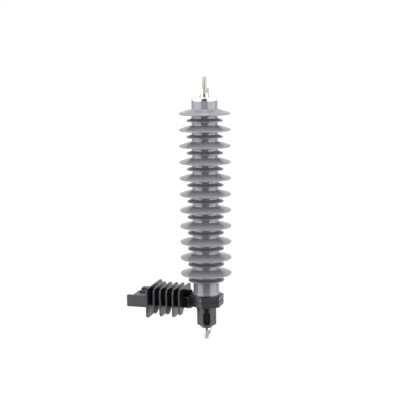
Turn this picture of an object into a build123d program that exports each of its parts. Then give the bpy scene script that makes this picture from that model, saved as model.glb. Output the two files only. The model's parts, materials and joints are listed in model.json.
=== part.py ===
"""Polymer-housed distribution surge arrester on a finned insulating bracket.

Millimetres, +Z up along the arrester. The origin is the mouth of the threaded insert
in the bracket's end face, and the bracket runs along +X from there to the arrester.
"""
from build123d import *
import math
import os

# ---- arrester axis and levels (heights above the mounting hole) ----
AXIS_X = 154.0              # arrester axis, from the bracket's end face
CUP_TOP = 18.0              # top face of the bracket's hexagonal cup
CUP_HEIGHT = 21.5
CUP_FLOOR = 8.5             # the housing and lower electrode stand on this
FIRST_SHED = 389.5          # rim of the highest large shed
HOUSING_TOP = FIRST_SHED + 26.0

# ---- silicone housing ----
SHED_COUNT = 11
SHED_PITCH = 32.6
SMALL_SHED_DROP = 14.3      # small rim below the large rim above it
CORE_R = 26.4
SHED_R, SHED_ROOT, SHED_UNDER, SHED_RIM = 52.0, 9.4, 1.0, 2.6
SMALL_R, SMALL_ROOT, SMALL_UNDER, SMALL_RIM = 37.1, 5.0, 0.4, 2.4
FOOT_R, FOOT_TOP, FOOT_FLARE = 27.8, 20.0, 27.0

# ---- active part: electrodes, tube, varistor column ----
TUBE_OUTER_R, TUBE_INNER_R = 21.5, 18.2
CAP_R, CAP_HEIGHT = 26.4, 7.0
TOP_SPIGOT, FOOT_SPIGOT = 20.0, 18.0
FOOT_THREAD_DEPTH = 14.0
FOOT_FLANGE_R, FOOT_FLANGE = 24.0, 6.0
BLOCK_COUNT, BLOCK_R, BLOCK_HEIGHT = 12, 17.0, 27.5
BLOCKS_PER_GROUP = 4
SPACER_HEIGHT = 8.0
SPRING_COUNT, SPRING_SHEET, SPRING_RISE, SPRING_BORE_R = 2, 1.6, 2.2, 8.5

# ---- M10 studs, nuts and washers ----
STUD_R, THREAD_R = 5.0, 4.51        # crest and pitch radius
NUT_FLATS = 17.0
WASHER_R, WASHER_BORE_R = 9.4, 5.25
SPRING_WASHER_R, SPRING_WASHER_GAP = 8.6, 1.6
TOP_WASHER, TOP_SPRING_WASHER, TOP_NUT = 2.2, 2.6, 10.0
TOP_FREE_STUD = 24.0
TOP_THREAD_DEPTH = 16.0
EARTH_WASHER, EARTH_SPRING_WASHER, EARTH_NUT, EARTH_FREE_STUD = 2.0, 2.5, 8.0, 11.5

# ---- bracket ----
CUP_R = 36.5                # across corners / 2
CUP_POCKET_R = 28.6
LIP_R, LIP_HEIGHT = 30.4, 2.6       # round lip standing on the cup's top face
CUP_GROOVE_DROP, CUP_GROOVE, CUP_GROOVE_DEPTH = 9.5, 2.2, 1.2
ARM_HALF, ARM_TOP, ARM_BOTTOM = 12.0, 12.4, -10.6
ARM_RECESS_X, ARM_RECESS_Z, ARM_RECESS = (117.0, 126.0), (-0.8, 5.2), 1.4
FIN_X = (41.0, 53.0, 66.4, 80.0, 93.5, 107.0)
FIN_THICK, FIN_HALF, FIN_TOP = 3.2, 40.0, 32.0
FIN_CORNER, FIN_DEEP, FIN_SHORT = 9.0, -26.0, -21.0
END_FIN_HALF, END_FIN_TOP, END_FIN_DEEP = 50.0, 33.4, -27.5
LEG_INNER = 14.0
BLOCK_HALF, BLOCK_TOP, BLOCK_BOTTOM = 20.0, 12.0, -12.6
CHEEK, CHEEK_REACH = 5.0, 12.4
LUG_X0, LUG_FIRST, LUG_SECOND, LUG_BACK, LUG_STEP, LUG_BASE = 6.0, 6.0, 20.0, 36.0, 3.2, 1.0
WEB_RISE, WEB_RUN = 6.0, 12.0

# ---- threaded insert in the bracket's end ----
INSERT_R, INSERT_BORE_R, INSERT_LENGTH = 9.0, 5.43, 25.0
INSERT_GROOVE, INSERT_GROOVE_DEPTH = 4.0, 1.2
INSERT_BORE_LENGTH = 22.0

# ---- earth-lead disconnector ----
FLANGE_R, FLANGE_HEIGHT = 20.6, 8.5
BODY_R, BODY_BOTTOM, BODY_FLOOR = 20.0, -42.6, 3.0
POCKET_COUNT, POCKET_WIDTH, POCKET_DEPTH = 3, 14.3, 5.6
POCKET_TOP, POCKET_BOTTOM, POCKET_TURN = -16.6, -40.6, 16.5
NOSE_R, NOSE_BOTTOM, NOSE_RIB_COUNT, NOSE_RIB, NOSE_RIB_PROUD = 10.0, -51.4, 12, 2.6, 1.6
LID_R, LID_HEIGHT = 15.6, 6.0
CARTRIDGE_R, CARTRIDGE_LENGTH, CARTRIDGE_SEAT = 2.85, 8.0, 3.0
RESISTOR_R, RESISTOR_BORE_R = 9.0, 4.5
STUD_HEAD_R, STUD_HEAD = 10.0, 4.0

# ---- worked out from the above ----
CUP_BOTTOM = CUP_TOP - CUP_HEIGHT
CAP_TOP = HOUSING_TOP + CAP_HEIGHT
EARTH_STUD_END = (NOSE_BOTTOM - EARTH_WASHER - EARTH_SPRING_WASHER
                  - EARTH_NUT - EARTH_FREE_STUD)
COLUMN_BASE = CUP_FLOOR + FOOT_FLANGE + FOOT_SPIGOT
COLUMN_TOP = HOUSING_TOP - TOP_SPIGOT


def on_axis(solid):
    """Carry a piece made about the Z axis to the arrester's axis."""
    return Pos(AXIS_X, 0, 0) * solid


def ring(outer_r, z0, z1, inner_r=0.0):
    """A plain turned disc or tube between two heights."""
    body = Pos(0, 0, z0) * Cylinder(outer_r, z1 - z0, align=(Align.CENTER, Align.CENTER, Align.MIN))
    if inner_r:
        body -= Pos(0, 0, z0) * Cylinder(inner_r, z1 - z0, align=(Align.CENTER, Align.CENTER, Align.MIN))
    return body


def turned(points):
    """Revolve an outline of (radius, height) points."""
    outline = make_face(Polyline([(r, 0, z) for r, z in points], close=True))
    return revolve(outline, Axis.Z, 360)


def block_between(x0, x1, y0, y1, z0, z1):
    return Pos((x0 + x1) / 2, (y0 + y1) / 2, (z0 + z1) / 2) * Box(x1 - x0, y1 - y0, z1 - z0)


def hexagon(corner_r, z0, z1):
    """A hexagonal prism with flats facing +X and -X."""
    flat = Pos(0, 0, z0) * RegularPolygon(corner_r, 6, rotation=30)
    return extrude(flat, z1 - z0)


# ---- housing ----
def shed_outline(rim_z, rim_r, root, under, rim):
    """One shed's points from its upper root to its lower root."""
    return [(CORE_R, rim_z + root), (rim_r, rim_z + rim / 2),
            (rim_r, rim_z - rim / 2), (CORE_R, rim_z - rim / 2 + under)]


def make_housing():
    points = [(TUBE_OUTER_R, HOUSING_TOP), (CORE_R, HOUSING_TOP)]
    for index in range(SHED_COUNT):
        rim_z = FIRST_SHED - index * SHED_PITCH
        points += shed_outline(rim_z, SHED_R, SHED_ROOT, SHED_UNDER, SHED_RIM)
        points += shed_outline(rim_z - SMALL_SHED_DROP, SMALL_R, SMALL_ROOT, SMALL_UNDER, SMALL_RIM)
    flange_top = CUP_FLOOR + FOOT_FLANGE
    points += [(CORE_R, FOOT_FLARE), (FOOT_R, FOOT_TOP), (FOOT_R, CUP_FLOOR),
               (FOOT_FLANGE_R, CUP_FLOOR), (FOOT_FLANGE_R, flange_top), (TUBE_OUTER_R, flange_top)]
    return turned(points)


# ---- active part ----
def make_top_electrode():
    return turned([(THREAD_R, CAP_TOP), (CAP_R - 0.8, CAP_TOP), (CAP_R, CAP_TOP - 0.8),
                   (CAP_R, HOUSING_TOP), (TUBE_INNER_R, HOUSING_TOP), (TUBE_INNER_R, COLUMN_TOP),
                   (0, COLUMN_TOP), (0, CAP_TOP - TOP_THREAD_DEPTH),
                   (THREAD_R, CAP_TOP - TOP_THREAD_DEPTH)])


def make_bottom_electrode():
    flange_top = CUP_FLOOR + FOOT_FLANGE
    return turned([(THREAD_R, CUP_FLOOR), (FOOT_FLANGE_R, CUP_FLOOR), (FOOT_FLANGE_R, flange_top),
                   (TUBE_INNER_R, flange_top), (TUBE_INNER_R, COLUMN_BASE), (0, COLUMN_BASE),
                   (0, CUP_FLOOR + FOOT_THREAD_DEPTH), (THREAD_R, CUP_FLOOR + FOOT_THREAD_DEPTH)])


def make_tube():
    return ring(TUBE_OUTER_R, CUP_FLOOR + FOOT_FLANGE, HOUSING_TOP, TUBE_INNER_R)


def make_disc_spring(z0, points_up):
    """A conical spring washer, its rim or its bore uppermost."""
    low, high = (SPRING_BORE_R, BLOCK_R) if points_up else (BLOCK_R, SPRING_BORE_R)
    return turned([(low, z0), (high, z0 + SPRING_RISE), (high, z0 + SPRING_RISE + SPRING_SHEET),
                   (low, z0 + SPRING_SHEET)])


# ---- fasteners ----
def make_nut(z0, height):
    body = hexagon(NUT_FLATS / math.sqrt(3), z0, z0 + height)
    corner_r = NUT_FLATS / math.sqrt(3)
    drop = (corner_r - NUT_FLATS / 2) * math.tan(math.radians(30))
    body &= turned([(0, z0), (NUT_FLATS / 2, z0), (corner_r, z0 + drop),
                    (corner_r, z0 + height - drop), (NUT_FLATS / 2, z0 + height), (0, z0 + height)])
    return body - ring(THREAD_R, z0, z0 + height)


def make_spring_washer(z0, height):
    """A split ring, flattened by its nut."""
    body = ring(SPRING_WASHER_R, z0, z0 + height, WASHER_BORE_R)
    split = Pos(SPRING_WASHER_R * 0.8, 0, z0 + height / 2) * Rot(20, 0, 0) * Box(
        SPRING_WASHER_R, SPRING_WASHER_GAP, height * 2)
    return body - split


def make_top_stud():
    nut_base = CAP_TOP + 2 * TOP_WASHER + TOP_SPRING_WASHER
    nut_top = nut_base + TOP_NUT
    tip = nut_top + TOP_FREE_STUD
    base = CAP_TOP - TOP_THREAD_DEPTH + 1
    return turned([(0, base), (THREAD_R, base), (THREAD_R, CAP_TOP), (STUD_R, CAP_TOP),
                   (STUD_R, nut_base), (THREAD_R, nut_base), (THREAD_R, nut_top),
                   (STUD_R, nut_top), (STUD_R, tip - 1), (STUD_R - 1, tip), (0, tip)])


def make_coupling_stud():
    """Joins the lower electrode, the cup's floor and the disconnector."""
    top = CUP_FLOOR + 13
    base = CUP_BOTTOM - LID_HEIGHT
    return turned([(0, base), (THREAD_R, base), (THREAD_R, CUP_BOTTOM), (STUD_R, CUP_BOTTOM),
                   (STUD_R, CUP_FLOOR), (THREAD_R, CUP_FLOOR), (THREAD_R, top), (0, top)])


# ---- bracket ----
def fin_outline(half, top, bottom):
    """A rounded plate seen along X."""
    middle = (top + bottom) / 2
    return Pos(0, middle) * RectangleRounded(2 * half, top - bottom, FIN_CORNER)


def legged_outline():
    """A plate to the arm's underside, with a leg hanging down on each side of the arm."""
    plate = fin_outline(FIN_HALF, FIN_TOP, FIN_SHORT)
    gap_height = ARM_BOTTOM - FIN_SHORT + 6
    gap = Pos(0, ARM_BOTTOM - gap_height / 2 + 0.01) * Rectangle(2 * LEG_INNER, gap_height)
    outline = plate - gap
    feet = [v for v in outline.vertices()
            if abs(abs(v.X) - LEG_INNER) < 0.01 and abs(v.Y - FIN_SHORT) < 0.01]
    return fillet(feet, FIN_CORNER)


def stand_fin(outline, x):
    """Stand a plate outline up at x, thickness along X."""
    plate = Plane(origin=(x - FIN_THICK / 2, 0, 0), x_dir=(0, 1, 0), z_dir=(1, 0, 0))
    return extrude(plate * outline, FIN_THICK)


def make_fins():
    fins = []
    for index, x in enumerate(FIN_X):
        if index == 0:
            outline = fin_outline(END_FIN_HALF, END_FIN_TOP, END_FIN_DEEP)
        elif index % 2:
            outline = legged_outline()
        else:
            outline = fin_outline(FIN_HALF, FIN_TOP, FIN_DEEP)
        fins.append(stand_fin(outline, x))
    return fins


def make_arm():
    arm = block_between(FIN_X[0], AXIS_X - CUP_R * 0.8, -ARM_HALF, ARM_HALF, ARM_BOTTOM, ARM_TOP)
    arm = fillet(arm.edges().filter_by(Axis.X), 2.0)
    for side in (-1, 1):
        face_y = side * ARM_HALF
        arm -= block_between(*ARM_RECESS_X, min(face_y, face_y - side * ARM_RECESS),
                             max(face_y, face_y - side * ARM_RECESS), *ARM_RECESS_Z)
    return arm


def make_mount_block():
    block = block_between(0, FIN_X[0], -BLOCK_HALF, BLOCK_HALF, BLOCK_BOTTOM, BLOCK_TOP)
    cheek = block_between(-CHEEK_REACH, 6, -BLOCK_HALF, -BLOCK_HALF + CHEEK, BLOCK_BOTTOM, BLOCK_TOP)
    block = block + cheek
    corner = [e for e in block.edges().filter_by(Axis.Y) if abs(e.center().X + CHEEK_REACH) < 0.01]
    block = fillet(corner, 2.5)
    centre = (FIN_X[0] - WEB_RUN, BLOCK_TOP + WEB_RUN)
    scoop = Plane.XZ * (Pos(*centre) * Circle(WEB_RUN))
    blend = block_between(FIN_X[0] - WEB_RUN, FIN_X[0], -BLOCK_HALF, BLOCK_HALF,
                          BLOCK_TOP, BLOCK_TOP + WEB_RISE)
    blend -= extrude(scoop, BLOCK_HALF + 1, both=True)
    block += blend
    shelf = block_between(LUG_X0, FIN_X[0], LUG_FIRST, LUG_BACK, LUG_BASE, BLOCK_TOP + LUG_STEP)
    step = block_between(LUG_X0, FIN_X[0], LUG_SECOND, LUG_BACK, LUG_BASE, BLOCK_TOP + 2 * LUG_STEP)
    return block + shelf + step


def make_cup():
    cup = hexagon(CUP_R, CUP_BOTTOM, CUP_TOP)
    cup = chamfer(cup.edges().group_by(Axis.Z)[-1], 0.8)
    groove_top = CUP_TOP - CUP_GROOVE_DROP
    band = hexagon(CUP_R + 5, groove_top - CUP_GROOVE, groove_top)
    band -= hexagon(CUP_R - CUP_GROOVE_DEPTH, groove_top - CUP_GROOVE, groove_top)
    return on_axis(cup - band)


def make_bracket():
    bracket = make_cup() + make_arm() + make_mount_block()
    for fin in make_fins():
        bracket += fin
    bracket += on_axis(ring(LIP_R, CUP_TOP - 1, CUP_TOP + LIP_HEIGHT))
    bracket -= on_axis(ring(CUP_POCKET_R, CUP_FLOOR, CUP_TOP + LIP_HEIGHT))
    bracket -= on_axis(ring(WASHER_BORE_R, CUP_BOTTOM - 1, CUP_FLOOR))
    return bracket - insert_envelope()


def insert_outline(bore):
    """Outline of the insert along its axis: grooved round the middle to grip the moulding."""
    middle = INSERT_LENGTH / 2
    points = [(INSERT_R, 0), (INSERT_R, middle - INSERT_GROOVE),
              (INSERT_R - INSERT_GROOVE_DEPTH, middle - INSERT_GROOVE),
              (INSERT_R - INSERT_GROOVE_DEPTH, middle + INSERT_GROOVE),
              (INSERT_R, middle + INSERT_GROOVE), (INSERT_R, INSERT_LENGTH), (0, INSERT_LENGTH)]
    if bore:
        points += [(0, INSERT_BORE_LENGTH), (INSERT_BORE_R, INSERT_BORE_LENGTH), (INSERT_BORE_R, 0)]
    else:
        points += [(0, 0)]
    return points


def insert_envelope():
    return Rot(0, 90, 0) * turned(insert_outline(False))


def make_mount_insert():
    return Rot(0, 90, 0) * turned(insert_outline(True))


# ---- disconnector ----
def make_disconnector_body():
    cavity_bottom = BODY_BOTTOM + BODY_FLOOR
    flange_bottom = CUP_BOTTOM - FLANGE_HEIGHT
    body = ring(FLANGE_R, flange_bottom, CUP_BOTTOM) + ring(BODY_R, BODY_BOTTOM, CUP_BOTTOM)
    body = body + turned([(0, BODY_BOTTOM), (BODY_R - NOSE_RIB_PROUD, BODY_BOTTOM),
                          (BODY_R - 4, BODY_BOTTOM - 2.2), (NOSE_R - 0.4, NOSE_BOTTOM), (0, NOSE_BOTTOM)])
    rib = make_face(Polyline((0, 0, BODY_BOTTOM), (BODY_R, 0, BODY_BOTTOM),
                             (BODY_R, 0, BODY_BOTTOM - 1), (NOSE_R + 3.5, 0, NOSE_BOTTOM + 4.5),
                             (NOSE_R, 0, NOSE_BOTTOM), (0, 0, NOSE_BOTTOM), close=True))
    rib = extrude(rib, NOSE_RIB / 2, both=True)
    for index in range(NOSE_RIB_COUNT):
        body += Rot(0, 0, index * 360 / NOSE_RIB_COUNT) * rib
    pocket_height = POCKET_TOP - POCKET_BOTTOM
    outline = Pos(0, (POCKET_TOP + POCKET_BOTTOM) / 2) * RectangleRounded(
        POCKET_WIDTH, pocket_height, POCKET_WIDTH * 0.35)
    face = Plane(origin=(0, -BODY_R - 2, 0), x_dir=(1, 0, 0), z_dir=(0, -1, 0)) * outline
    pocket = extrude(face, -(POCKET_DEPTH + 2))
    for index in range(POCKET_COUNT):
        body -= Rot(0, 0, POCKET_TURN + index * 360 / POCKET_COUNT) * pocket
    body -= ring(LID_R, CUP_BOTTOM - LID_HEIGHT, CUP_BOTTOM)
    body -= ring(STUD_HEAD_R, cavity_bottom, CUP_BOTTOM - LID_HEIGHT)
    return body - ring(THREAD_R, NOSE_BOTTOM, cavity_bottom)


def make_disconnector_lid():
    return ring(LID_R, CUP_BOTTOM - LID_HEIGHT, CUP_BOTTOM, THREAD_R)


def make_earth_stud():
    head_base = BODY_BOTTOM + BODY_FLOOR
    nut_top = NOSE_BOTTOM - EARTH_WASHER - EARTH_SPRING_WASHER
    nut_base = nut_top - EARTH_NUT
    seat = head_base + STUD_HEAD - CARTRIDGE_SEAT
    return turned([(0, seat), (CARTRIDGE_R, seat), (CARTRIDGE_R, head_base + STUD_HEAD),
                   (STUD_HEAD_R, head_base + STUD_HEAD), (STUD_HEAD_R, head_base),
                   (THREAD_R, head_base), (THREAD_R, NOSE_BOTTOM), (STUD_R, NOSE_BOTTOM),
                   (STUD_R, nut_top), (THREAD_R, nut_top), (THREAD_R, nut_base),
                   (STUD_R, nut_base), (STUD_R, EARTH_STUD_END + 1),
                   (STUD_R - 1, EARTH_STUD_END), (0, EARTH_STUD_END)])


def make_cartridge():
    seat = BODY_BOTTOM + BODY_FLOOR + STUD_HEAD - CARTRIDGE_SEAT
    return ring(CARTRIDGE_R, seat, seat + CARTRIDGE_LENGTH)


def make_grading_resistor():
    base = BODY_BOTTOM + BODY_FLOOR + STUD_HEAD
    return ring(RESISTOR_R, base, CUP_BOTTOM - LID_HEIGHT, RESISTOR_BORE_R)


def arrester_pieces():
    """Every piece of the arrester above the bracket, by node name."""
    pieces = {"silicone_housing": make_housing(), "top_electrode": make_top_electrode(),
              "bottom_electrode": make_bottom_electrode(), "fibreglass_tube": make_tube()}
    z = COLUMN_BASE
    for index in range(BLOCK_COUNT):
        if index and index % BLOCKS_PER_GROUP == 0:
            pieces[f"spacer_disc_{index // BLOCKS_PER_GROUP}"] = ring(BLOCK_R, z, z + SPACER_HEIGHT)
            z += SPACER_HEIGHT
        pieces[f"varistor_block_{index + 1:02d}"] = ring(BLOCK_R, z, z + BLOCK_HEIGHT)
        z += BLOCK_HEIGHT
    springs = SPRING_COUNT * (SPRING_SHEET + SPRING_RISE)
    plate_height = COLUMN_TOP - springs - z
    pieces["pressure_plate"] = ring(BLOCK_R, z, z + plate_height)
    z += plate_height
    for index in range(SPRING_COUNT):
        pieces[f"disc_spring_{index + 1}"] = make_disc_spring(z, index % 2 == 0)
        z += SPRING_SHEET + SPRING_RISE
    return pieces


def terminal_pieces():
    z = CAP_TOP
    pieces = {"line_stud": make_top_stud()}
    for name in ("line_washer_lower", "line_washer_upper"):
        pieces[name] = ring(WASHER_R, z, z + TOP_WASHER, WASHER_BORE_R)
        z += TOP_WASHER
    pieces["line_spring_washer"] = make_spring_washer(z, TOP_SPRING_WASHER)
    pieces["line_nut"] = make_nut(z + TOP_SPRING_WASHER, TOP_NUT)
    return pieces


def disconnector_pieces():
    pieces = {"coupling_stud": make_coupling_stud(), "disconnector_body": make_disconnector_body(),
              "disconnector_lid": make_disconnector_lid(), "grading_resistor": make_grading_resistor(),
              "disconnector_cartridge": make_cartridge(), "earth_stud": make_earth_stud()}
    z = NOSE_BOTTOM - EARTH_WASHER
    pieces["earth_washer"] = ring(WASHER_R, z, z + EARTH_WASHER, WASHER_BORE_R)
    z -= EARTH_SPRING_WASHER
    pieces["earth_spring_washer"] = make_spring_washer(z, EARTH_SPRING_WASHER)
    z -= EARTH_NUT
    pieces["earth_nut"] = make_nut(z, EARTH_NUT)
    return pieces


def main():
    os.makedirs("parts", exist_ok=True)
    pieces = {"bracket": make_bracket(), "mount_insert": make_mount_insert()}
    for group in (arrester_pieces(), terminal_pieces(), disconnector_pieces()):
        pieces.update({name: on_axis(piece) for name, piece in group.items()})
    for name, piece in pieces.items():
        export_step(piece, f"parts/{name}.step")


main()
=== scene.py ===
"""Polymer-housed surge arrester on its finned bracket: finishes, threads, light and camera."""
import json
import math

import bmesh
import bpy
from mathutils import Matrix, Vector


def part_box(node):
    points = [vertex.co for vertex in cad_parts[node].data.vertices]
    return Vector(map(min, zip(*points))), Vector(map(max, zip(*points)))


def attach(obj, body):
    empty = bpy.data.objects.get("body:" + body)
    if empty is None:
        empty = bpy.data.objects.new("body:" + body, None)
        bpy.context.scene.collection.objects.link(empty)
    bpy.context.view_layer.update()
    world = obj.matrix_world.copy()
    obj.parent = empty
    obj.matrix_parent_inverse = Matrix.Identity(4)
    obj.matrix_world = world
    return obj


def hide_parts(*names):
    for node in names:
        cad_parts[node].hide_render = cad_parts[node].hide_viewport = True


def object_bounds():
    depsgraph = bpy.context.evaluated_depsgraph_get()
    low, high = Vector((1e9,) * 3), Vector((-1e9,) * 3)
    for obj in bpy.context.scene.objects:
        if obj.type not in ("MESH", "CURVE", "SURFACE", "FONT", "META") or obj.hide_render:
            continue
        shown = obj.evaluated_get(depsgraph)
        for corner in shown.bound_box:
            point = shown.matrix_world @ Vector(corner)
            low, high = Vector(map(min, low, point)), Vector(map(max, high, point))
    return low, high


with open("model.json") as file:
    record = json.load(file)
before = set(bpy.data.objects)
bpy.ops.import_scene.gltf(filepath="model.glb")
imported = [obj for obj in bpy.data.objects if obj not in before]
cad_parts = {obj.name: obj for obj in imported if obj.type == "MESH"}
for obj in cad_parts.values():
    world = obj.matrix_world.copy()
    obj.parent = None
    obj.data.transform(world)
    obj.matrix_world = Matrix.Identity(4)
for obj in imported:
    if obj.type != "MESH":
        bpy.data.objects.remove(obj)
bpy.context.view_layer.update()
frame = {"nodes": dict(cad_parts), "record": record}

MM = 0.001

# ---- the housing's sheds, matching the moulding in the frame ----
SHED_COUNT = 11
SHED_PITCH = 32.6 * MM
FIRST_RIM_DROP = 26.0 * MM          # highest rim below the housing's top
SMALL_DROP = 14.3 * MM
CORE_R = 26.4 * MM
LARGE_SHED = dict(rim=51.97 * MM, root=9.4 * MM, under=1.0 * MM, thick=2.6 * MM)
SMALL_SHED = dict(rim=37.1 * MM, root=5.0 * MM, under=0.4 * MM, thick=2.4 * MM)
RIM_ROUND, UPPER_ROUND, LOWER_ROUND = 1.0 * MM, 1.6 * MM, 1.2 * MM
FOOT_R, FOOT_TOP, FOOT_FLARE = 27.8 * MM, 11.5 * MM, 18.5 * MM
FLANGE_R, FLANGE = 24.0 * MM, 6.0 * MM
BORE_R = 21.5 * MM
TOP_EDGE = 0.6 * MM
FOOT_BLEND, FOOT_SHOULDER, FOOT_EDGE = 5.0 * MM, 2.0 * MM, 0.4 * MM
SPIN_STEPS = 120
ARC_STEPS = 4
MERGE = 1e-6                        # points closer than this are one

# ---- M10 thread ----
THREAD_PITCH = 1.5 * MM
CREST_R, ROOT_R = 5.0 * MM, 4.2 * MM
CREST_FROM, CREST_TO = 0.45, 0.57    # where the crest lies, as parts of a pitch
THREAD_STEPS = 28
THREAD_MERGE, THREAD_CUT, THREAD_SHARP = 2e-6, 1e-7, math.radians(50)
THREAD_HIDDEN = 4.0 * MM            # length of thread inside the nut
TIP_HEIGHT, TIP_CHAMFER = 1.0 * MM, 0.4 * MM

# ---- edges of moulded and turned pieces ----
MOULDED_EDGE, TURNED_EDGE, FIN_EDGE = 0.6 * MM, 0.3 * MM, 1.1 * MM
FINS_FROM, FINS_TO = 38 * MM, 112 * MM
CUP_EDGE, CUP_RIM_LOW, CUP_RIM_HIGH = 0.5 * MM, 17.0 * MM, 18.1 * MM
RIB_HALF, RIB_LOW, RIB_HIGH = 3.0 * MM, 10.0 * MM, 26.0 * MM    # rib along the top of the arm
RIB_FROM, RIB_TO = 41.0 * MM, 124.0 * MM
BODY_EDGE, FIXING_EDGE = MOULDED_EDGE * 0.6, TURNED_EDGE * 0.7
TURNED_RING = 0.35 * MM             # from one turning mark to the next
SHARP_ANGLE, FLAT_ANGLE = math.radians(32), math.radians(0.5)
FACES_ALONG = 0.99                  # a face normal's share along the arm, at least

# ---- camera and light ----
CAMERA_AZIMUTH = math.radians(16.5)
CAMERA_DISTANCE = 2.239
CAMERA_ABOVE_RIM = 0.2047
CAMERA_ASIDE = -0.011
CAMERA_PITCH = math.radians(9.63)
CAMERA_ROLL = math.radians(-0.66)
CAMERA_LENS = 101.1
CAMERA_REACH = 100.0
FLOOR_BELOW, FLOOR_HALF = 1.4, 30.0
FLOOR_BOUNCE, FLOOR_SEEN, FLOOR_GLOW = (0.12, 0.12, 0.12), (0.3, 0.3, 0.3), 0.96
WORLD_FILL = 0.3
WHITE = (1.0, 1.0, 1.0, 1.0)
SOFTBOX_SIZE, SOFTBOX_DISTANCE, SOFTBOX_TILT, SOFTBOX_POWER = (2.4, 2.8), 1.7, math.radians(12), 39
TOP_SIZE, TOP_DISTANCE, TOP_TILT, TOP_POWER = (1.2, 1.0), 1.6, math.radians(64), 14
LEFT_BOX, RIGHT_BOX = math.radians(-66), math.radians(66)
CARD_EDGES, CARD_DISTANCE, CARD_HEIGHT = (math.radians(-29), math.radians(31)), 2.7, 4.0
CARD_BLACK = (0.01, 0.01, 0.01, 1.0)


# ---- shader graph ----
class Value:
    """A shader socket that takes Python arithmetic."""

    def __init__(self, graph, socket):
        self.graph, self.socket = graph, socket

    def math(self, operation, *others):
        return self.graph.node("ShaderNodeMath", dict(enumerate((self, *others))), operation=operation)

    def __add__(self, other):
        return self.math("ADD", other)

    def __mul__(self, other):
        return self.math("MULTIPLY", other)

    __radd__ = __add__
    __rmul__ = __mul__

    def clamped(self):
        return self.graph.node("ShaderNodeClamp", {"Value": self})


class Graph:
    """A node tree, and the one method that adds a node to it."""

    def __init__(self, tree):
        self.tree = tree

    def feed(self, socket, value):
        if isinstance(value, Value):
            self.tree.links.new(value.socket, socket)
        else:
            socket.default_value = value

    def node(self, kind, sockets=None, output=0, stops=None, **settings):
        made = self.tree.nodes.new(kind)
        for key, value in settings.items():
            setattr(made, key, value)
        if stops:
            ramp = made.color_ramp
            while len(ramp.elements) < len(stops):
                ramp.elements.new(0.5)
            for element, (place, colour) in zip(ramp.elements, stops):
                element.position, element.color = place, (*colour, 1.0)
        for key, value in (sockets or {}).items():
            self.feed(made.inputs[key], value)
        return Value(self, made.outputs[output])

    def seen(self):
        """1 to the eye and in what it sees by reflection or through glass, else 0."""
        camera, glossy, through = (self.node("ShaderNodeLightPath", output=f"Is {ray} Ray")
                                   for ray in ("Camera", "Glossy", "Transmission"))
        return (camera + glossy + through).clamped()


class Finish(Graph):
    """One material: a Principled shader and the nodes that feed it."""

    def __init__(self, name, roughness=0.5, metallic=0.0, **constants):
        self.material = bpy.data.materials.new(name)
        self.material.use_nodes = True
        super().__init__(self.material.node_tree)
        self.shader = self.tree.nodes["Principled BSDF"]
        self.set("Roughness", roughness)
        self.set("Metallic", metallic)
        for socket, value in constants.items():
            self.set(socket.replace("_", " "), value)

    def set(self, socket, value):
        self.feed(self.shader.inputs[socket], value)

    def place(self, origin=(0, 0, 0)):
        """Object coordinates about a point."""
        coordinates = self.node("ShaderNodeTexCoord", output="Object")
        return self.node("ShaderNodeVectorMath", {0: coordinates, 1: origin}, operation="SUBTRACT")

    def noise(self, vector, scale, detail=3.0):
        return self.node("ShaderNodeTexNoise", {"Vector": vector, "Scale": scale, "Detail": detail})

    def tint(self, factor, dark, light):
        return self.node("ShaderNodeValToRGB", {"Fac": factor}, stops=[(0.3, dark), (0.7, light)])

    def bump(self, height, distance, strength=1.0):
        self.set("Normal", self.node("ShaderNodeBump", {
            "Height": height, "Distance": distance, "Strength": strength}))


def silicone_grey():
    """Satin silicone with a soft moulded skin."""
    graph = Finish("silicone_grey", Specular_IOR_Level=0.95)
    at = graph.place()
    cloud = graph.noise(at, 22.0)
    skin = graph.noise(at, 900.0, 2.0)
    graph.set("Base Color", graph.tint(cloud, (0.222, 0.217, 0.246), (0.252, 0.246, 0.277)))
    graph.set("Roughness", 0.15 + cloud * 0.08)
    graph.bump(skin, 0.00004, 0.5)
    return graph.material


def black_moulding():
    """Glass-filled black moulding with a fine spark-eroded grain."""
    graph = Finish("black_moulding", Specular_IOR_Level=0.62, Specular_Tint=(0.96, 0.91, 1.0, 1.0))
    at = graph.place()
    cloud = graph.noise(at, 30.0)
    grain = graph.noise(at, 1500.0, 2.0)
    graph.set("Base Color", graph.tint(cloud, (0.009, 0.0085, 0.0105), (0.015, 0.0142, 0.017)))
    graph.set("Roughness", 0.26 + cloud * 0.12)
    graph.bump(grain, 0.00003, 0.4)
    return graph.material


def turned_metal(name, dark, light, roughness, origin):
    """Lathe-turned metal: fine rings about its own axis."""
    graph = Finish(name, metallic=1.0)
    at = graph.place(origin)
    flat = graph.node("ShaderNodeVectorMath", {0: at, 1: (1, 1, 0)}, operation="MULTIPLY")
    radius = graph.node("ShaderNodeVectorMath", {0: flat}, output="Value", operation="LENGTH")
    height = graph.node("ShaderNodeSeparateXYZ", {0: at}, output="Z")
    rings = ((radius + height) * (math.tau / TURNED_RING)).math("SINE")
    smear = graph.noise(at, 60.0)
    graph.set("Base Color", graph.tint(smear, dark, light))
    graph.set("Roughness", roughness + smear * 0.14)
    graph.bump(rings, 0.000012, 0.5)
    return graph.material


def plain_solid(name, dark, light, roughness, grain_scale, grain_depth, metallic=0.0):
    """A speckled material for ceramics and brass."""
    graph = Finish(name, metallic=metallic)
    at = graph.place()
    speck = graph.noise(at, grain_scale)
    graph.set("Base Color", graph.tint(speck, dark, light))
    graph.set("Roughness", roughness + speck * 0.15)
    graph.bump(speck, grain_depth)
    return graph.material


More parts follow.
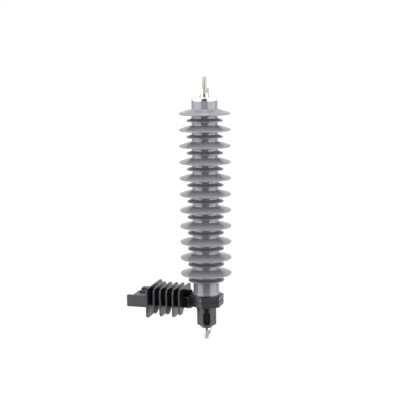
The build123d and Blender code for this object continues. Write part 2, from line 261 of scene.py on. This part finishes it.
def wound_fibre(origin):
    """Glass fibre wound round the tube under clear resin."""
    graph = Finish("wound_fibre", roughness=0.32, Specular_IOR_Level=0.5)
    at = graph.place(origin)
    bands = graph.node("ShaderNodeTexWave", {
        "Vector": at, "Scale": 260.0, "Distortion": 1.5, "Detail": 2.0},
        wave_type="BANDS", bands_direction="DIAGONAL")
    graph.set("Base Color", graph.tint(bands, (0.36, 0.33, 0.15), (0.55, 0.5, 0.28)))
    graph.bump(bands, 0.0001)
    return graph.material


# ---- modelling helpers ----
def stand(name, data):
    """A new object in the scene."""
    made = bpy.data.objects.new(name, data)
    bpy.context.scene.collection.objects.link(made)
    return made


def stand_mesh(bm, name, material):
    """Turn a bmesh into an object with one material."""
    mesh = bpy.data.meshes.new(name)
    bm.to_mesh(mesh)
    bm.free()
    mesh.materials.append(material)
    return stand(name, mesh)


def publish(bm, name, material, slot, *nodes):
    """Turn a bmesh into a finished piece that stands for the named nodes."""
    piece = stand_mesh(bm, name, material)
    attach(piece, "root")
    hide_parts(*nodes)
    return piece


def soften(bm, angle=SHARP_ANGLE):
    """Smooth shading, kept crisp where faces meet at a real edge."""
    bm.normal_update()
    for face in bm.faces:
        face.smooth = True
    for edge in bm.edges:
        edge.smooth = len(edge.link_faces) == 2 and edge.calc_face_angle(0.0) < angle


def rounded(points, radii):
    """An open outline whose corners are arcs of the given radii."""
    outline = [points[0]]
    for before, corner, after, radius in zip(points, points[1:], points[2:], radii[1:]):
        if not radius:
            outline.append(corner)
            continue
        towards, away = (before - corner).normalized(), (after - corner).normalized()
        half = towards.angle(away) / 2
        reach = radius / math.tan(half)
        centre = corner + (towards + away).normalized() * (radius / math.sin(half))
        start, end = corner + towards * reach - centre, corner + away * reach - centre
        for step in range(ARC_STEPS + 1):
            outline.append(centre + start.slerp(end, step / ARC_STEPS).normalized() * radius)
    outline.append(points[-1])
    return outline


def lathe(bm, outline, axis, steps, angle=math.tau, rise=0.0):
    """Spin an outline of (radius, 0, height) points about a vertical axis."""
    vertices = [bm.verts.new((axis.x + p.x, axis.y, p.z)) for p in outline]
    edges = [bm.edges.new(pair) for pair in zip(vertices, vertices[1:])]
    return bmesh.ops.spin(bm, geom=vertices + edges, cent=(axis.x, axis.y, 0), axis=(0, 0, 1),
                          dvec=(0, 0, rise / steps), angle=angle, steps=steps,
                          use_merge=not rise, use_duplicate=False)


# ---- pieces ----
def shed_corners(rim_z, rim, root, under, thick):
    """A shed's four corners and their rounds, from its root above to its root below."""
    return ([Vector((CORE_R, 0, rim_z + root)), Vector((rim, 0, rim_z + thick / 2)),
             Vector((rim, 0, rim_z - thick / 2)), Vector((CORE_R, 0, rim_z - thick / 2 + under))],
            [UPPER_ROUND, RIM_ROUND, RIM_ROUND, LOWER_ROUND])


def make_housing(material):
    """The housing turned smooth: core, sheds, foot and bore as one closed skin."""
    low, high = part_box("silicone_housing")
    axis = (low + high) / 2
    points = [Vector((BORE_R, 0, high.z)), Vector((CORE_R, 0, high.z))]
    radii = [0, TOP_EDGE]
    for index in range(SHED_COUNT):
        rim_z = high.z - FIRST_RIM_DROP - index * SHED_PITCH
        for drop, shed in ((0, LARGE_SHED), (SMALL_DROP, SMALL_SHED)):
            corners, rounds = shed_corners(rim_z - drop, **shed)
            points += corners
            radii += rounds
    points += [Vector((CORE_R, 0, low.z + FOOT_FLARE)), Vector((FOOT_R, 0, low.z + FOOT_TOP)),
               Vector((FOOT_R, 0, low.z)), Vector((FLANGE_R, 0, low.z)),
               Vector((FLANGE_R, 0, low.z + FLANGE)), Vector((BORE_R, 0, low.z + FLANGE)),
               Vector((BORE_R, 0, high.z))]
    radii += [FOOT_BLEND, FOOT_SHOULDER, FOOT_EDGE, 0, 0, 0, 0]
    bm = bmesh.new()
    lathe(bm, rounded(points, radii), axis, SPIN_STEPS)
    bmesh.ops.remove_doubles(bm, verts=bm.verts, dist=MERGE)
    bmesh.ops.recalc_face_normals(bm, faces=bm.faces)
    soften(bm)
    publish(bm, "sheds_and_barrel", material, "silicone", "silicone_housing")


def bevel_sharp(bm, offset, segments, chosen=lambda edge: True):
    """Round the real edges that are chosen."""
    bm.normal_update()
    sharp = [e for e in bm.edges
             if len(e.link_faces) == 2 and e.calc_face_angle(0.0) > SHARP_ANGLE and chosen(e)]
    bmesh.ops.bevel(bm, geom=sharp, offset=offset, offset_type="OFFSET", affect="EDGES",
                    segments=segments, profile=0.5, material=-1, clamp_overlap=True)


def outlines_a_fin(edge):
    """An outer edge of a fin: one of its two faces looks along the arm."""
    middle = (edge.verts[0].co + edge.verts[1].co) / 2
    sideways = sum(abs(face.normal.x) > FACES_ALONG for face in edge.link_faces)
    return edge.is_convex and sideways == 1 and FINS_FROM < middle.x < FINS_TO


def rims_the_cup(edge):
    """An edge of the chamfer round the top of the hexagonal cup."""
    middle = (edge.verts[0].co + edge.verts[1].co) / 2
    return middle.x > FINS_TO and CUP_RIM_LOW < middle.z < CUP_RIM_HIGH and edge.is_convex


def dress(node, name, material, slot, edge, fin_edge=0.0):
    """Copy a frame solid, merge its facets and round its edges."""
    bm = bmesh.new()
    bm.from_mesh(frame["nodes"][node].data)
    bmesh.ops.remove_doubles(bm, verts=bm.verts, dist=MERGE)
    bmesh.ops.dissolve_limit(bm, angle_limit=FLAT_ANGLE, verts=bm.verts, edges=bm.edges)
    if fin_edge:
        bevel_sharp(bm, fin_edge, 3, outlines_a_fin)
        bevel_sharp(bm, CUP_EDGE, 2, rims_the_cup)
    bevel_sharp(bm, edge, 2)
    bmesh.ops.triangulate(bm, faces=[f for f in bm.faces if len(f.verts) > 4])
    soften(bm)
    piece = publish(bm, name, material, slot, node)
    weighted = piece.modifiers.new("flat_faces_stay_flat", "WEIGHTED_NORMAL")
    weighted.keep_sharp = True
    weighted.weight = 100


def make_arm_rib(material):
    """The upright rib that runs along the arm, through the fins to the cup."""
    bm = bmesh.new()
    bmesh.ops.create_cube(bm, size=1.0)
    bmesh.ops.scale(bm, vec=(RIB_TO - RIB_FROM, 2 * RIB_HALF, RIB_HIGH - RIB_LOW), verts=bm.verts)
    bmesh.ops.translate(bm, vec=((RIB_FROM + RIB_TO) / 2, 0, (RIB_LOW + RIB_HIGH) / 2), verts=bm.verts)
    bevel_sharp(bm, FIN_EDGE, 3)
    soften(bm)
    publish(bm, "arm_rib", material, "black_moulding", "bracket")


def make_threaded_stud(node, name, material, thread_from, tip):
    """A stud with a cut helical thread on its free length, round a core as long as the stud."""
    low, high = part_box(node)
    axis = (low + high) / 2
    way = 1 if tip > thread_from else -1
    bottom, top = sorted((thread_from, tip - way * TIP_HEIGHT))
    bm = bmesh.new()
    turns = math.ceil((top - bottom) / THREAD_PITCH) + 2    # a spare turn at each end is cut off
    start = bottom - THREAD_PITCH
    tooth = [Vector((radius, 0, start + THREAD_PITCH * part)) for radius, part in
             ((ROOT_R, 0), (CREST_R, CREST_FROM), (CREST_R, CREST_TO), (ROOT_R, 1))]
    lathe(bm, tooth, axis, THREAD_STEPS * turns, math.tau * turns, THREAD_PITCH * turns)
    bmesh.ops.remove_doubles(bm, verts=bm.verts, dist=THREAD_MERGE)
    for level, normal in ((bottom, (0, 0, -1)), (top, (0, 0, 1))):
        bmesh.ops.bisect_plane(bm, geom=bm.verts[:] + bm.edges[:] + bm.faces[:], dist=THREAD_CUT,
                               plane_co=(0, 0, level), plane_no=normal, clear_outer=True)
    rims = [e for e in bm.edges if e.is_boundary]
    bmesh.ops.holes_fill(bm, edges=rims, sides=0)
    core_from = low.z if way > 0 else high.z
    tip_outline = [Vector((0, 0, core_from)), Vector((ROOT_R, 0, core_from)),
                   Vector((ROOT_R, 0, tip - way * TIP_HEIGHT)), Vector((ROOT_R - TIP_CHAMFER, 0, tip)),
                   Vector((0, 0, tip))]
    lathe(bm, tip_outline, axis, THREAD_STEPS)
    bmesh.ops.remove_doubles(bm, verts=bm.verts, dist=MERGE)
    bmesh.ops.recalc_face_normals(bm, faces=bm.faces)
    soften(bm, THREAD_SHARP)
    publish(bm, name, material, "stainless", node)


# ---- stage ----
def make_floor(centre):
    """A white floor, far enough below to stay out of the low reflections."""
    bm = bmesh.new()
    bmesh.ops.create_grid(bm, x_segments=1, y_segments=1, size=0.5)
    bmesh.ops.scale(bm, vec=(2 * FLOOR_HALF, 2 * FLOOR_HALF, 1), verts=bm.verts)
    bmesh.ops.translate(bm, vec=centre, verts=bm.verts)
    plane = stand_mesh(bm, "floor", floor_white())


def floor_white():
    """White to the eye and in reflections, with a faint shadow; a dim grey to everything else."""
    graph = Finish("floor_white", roughness=0.9, Specular_IOR_Level=0.0)
    seen = graph.seen()
    graph.set("Base Color", graph.tint(seen, FLOOR_BOUNCE, FLOOR_SEEN))
    glow = graph.node("ShaderNodeEmission", {"Color": WHITE, "Strength": seen * FLOOR_GLOW})
    lit = graph.node("ShaderNodeAddShader", {0: glow, 1: Value(graph, graph.shader.outputs[0])})
    graph.feed(graph.tree.nodes["Material Output"].inputs["Surface"], lit)
    return graph.material


def black_card():
    """Matt black card that throws back almost no light."""
    graph = Finish("black_card", roughness=1.0, Specular_IOR_Level=0.0)
    graph.set("Base Color", CARD_BLACK)
    return graph.material


def make_world():
    """White behind and in reflections, a plain grey fill on the object."""
    world = bpy.data.worlds.new("studio")
    bpy.context.scene.world = world
    world.use_nodes = True
    graph = Graph(world.node_tree)
    fill, white = (graph.node("ShaderNodeBackground", {"Color": WHITE, "Strength": strength})
                   for strength in (WORLD_FILL, 1.0))
    mix = graph.node("ShaderNodeMixShader", {0: graph.seen(), 1: fill, 2: white})
    graph.feed(graph.tree.nodes["World Output"].inputs["Surface"], mix)


def heading(azimuth):
    """Unit vector from the object towards a viewer at this azimuth."""
    return Vector((math.sin(azimuth), -math.cos(azimuth), 0))


def make_softbox(name, azimuth, centre, tilt, size, distance, power):
    """A lamp that looks at the centre, turned from the camera by the azimuth and raised by the tilt."""
    lamp = bpy.data.lights.new(name, "AREA")
    lamp.shape = "RECTANGLE"
    lamp.size, lamp.size_y = size
    lamp.energy = power
    box = stand(name, lamp)
    level = heading(CAMERA_AZIMUTH + azimuth) * math.cos(tilt)
    spot = centre + (level + Vector((0, 0, math.sin(tilt)))) * distance
    turn = (spot - centre).to_track_quat("Z", "Y").to_matrix().to_4x4()
    box.matrix_world = Matrix.Translation(spot) @ turn
    box.visible_camera = False


def make_dark_card(centre):
    """A black card behind the camera, seen only in reflections, as a stripe between the softboxes."""
    left, right = (heading(CAMERA_AZIMUTH + edge) * (CARD_DISTANCE / math.cos(edge))
                   for edge in CARD_EDGES)
    bm = bmesh.new()
    foot, head = Vector((0, 0, -CARD_HEIGHT / 2)), Vector((0, 0, CARD_HEIGHT / 2))
    corners = [bm.verts.new(centre + side + end)
               for side, end in ((left, foot), (right, foot), (right, head), (left, head))]
    bm.faces.new(corners)
    card = stand_mesh(bm, "dark_card", black_card())
    card.visible_camera = False


def make_camera(axis, rim_z):
    """The camera, placed from the housing's axis and its highest rim."""
    camera = stand("camera", bpy.data.cameras.new("camera"))
    camera.data.lens = CAMERA_LENS
    camera.data.clip_end = CAMERA_REACH
    aside = Vector((math.cos(CAMERA_AZIMUTH), math.sin(CAMERA_AZIMUTH), 0))
    spot = Vector((axis.x, axis.y, rim_z + CAMERA_ABOVE_RIM))
    spot += heading(CAMERA_AZIMUTH) * CAMERA_DISTANCE + aside * CAMERA_ASIDE
    turn = (Matrix.Rotation(CAMERA_AZIMUTH, 4, "Z")
            @ Matrix.Rotation(math.pi / 2 - CAMERA_PITCH, 4, "X")
            @ Matrix.Rotation(CAMERA_ROLL, 4, "Z"))
    camera.matrix_world = Matrix.Translation(spot) @ turn
    bpy.context.scene.camera = camera


def main():
    low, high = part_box("silicone_housing")
    axis = (low + high) / 2
    silicone, black = silicone_grey(), black_moulding()
    aluminium = turned_metal("turned_aluminium", (0.74, 0.75, 0.77), (0.84, 0.85, 0.86), 0.2, axis)
    steel = turned_metal("bright_steel", (0.5, 0.485, 0.46), (0.62, 0.605, 0.575), 0.18, axis)
    finishes = {
        "silicone": silicone, "black_moulding": black, "aluminium": aluminium, "stainless": steel,
        "spring_steel": turned_metal("spring_steel", (0.3, 0.31, 0.34), (0.42, 0.43, 0.46), 0.3, axis),
        "fibreglass": wound_fibre(axis),
        "varistor": plain_solid("zinc_oxide", (0.05, 0.05, 0.05), (0.11, 0.11, 0.1),
                                0.5, 700.0, 0.00005),
        "resistor": plain_solid("fired_resistor", (0.3, 0.28, 0.25), (0.42, 0.4, 0.37),
                                0.6, 500.0, 0.00006),
        "brass": plain_solid("turned_brass", (0.55, 0.38, 0.15), (0.72, 0.54, 0.25),
                             0.2, 200.0, 0.00001, metallic=1.0),
    }
    for part in frame["record"]["subparts"]:
        node = frame["nodes"][part["node"]]
        node.data.materials.clear()
        node.data.materials.append(finishes[part["material_slot"]])

    make_housing(silicone)
    dress("bracket", "finned_bracket", black, "black_moulding", MOULDED_EDGE, FIN_EDGE)
    make_arm_rib(black)
    dress("disconnector_body", "ribbed_disconnector", black, "black_moulding", BODY_EDGE)
    dress("top_electrode", "end_cap", aluminium, "aluminium", TURNED_EDGE)
    for node in ("line_nut", "line_washer_lower", "line_washer_upper", "line_spring_washer",
                 "earth_nut", "earth_washer", "earth_spring_washer"):
        dress(node, f"{node}_dressed", steel, "stainless", FIXING_EDGE)
    nut_top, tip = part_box("line_nut")[1].z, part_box("line_stud")[1].z
    make_threaded_stud("line_stud", "threaded_line_stud", steel, nut_top - THREAD_HIDDEN, tip)
    nut_bottom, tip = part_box("earth_nut")[0].z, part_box("earth_stud")[0].z
    make_threaded_stud("earth_stud", "threaded_earth_stud", steel, nut_bottom + THREAD_HIDDEN, tip)

    whole_low, whole_high = map(Vector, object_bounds())
    middle = (whole_low + whole_high) / 2
    make_floor(Vector((0, 0, whole_low.z - FLOOR_BELOW)))
    make_world()
    for name, azimuth in (("left_softbox", LEFT_BOX), ("right_softbox", RIGHT_BOX)):
        make_softbox(name, azimuth, middle, SOFTBOX_TILT, SOFTBOX_SIZE, SOFTBOX_DISTANCE, SOFTBOX_POWER)
    make_softbox("top_softbox", 0, middle, TOP_TILT, TOP_SIZE, TOP_DISTANCE, TOP_POWER)
    make_dark_card(middle)
    make_camera(axis, high.z - FIRST_RIM_DROP)

    bpy.context.scene.view_settings.view_transform = "Standard"


main()
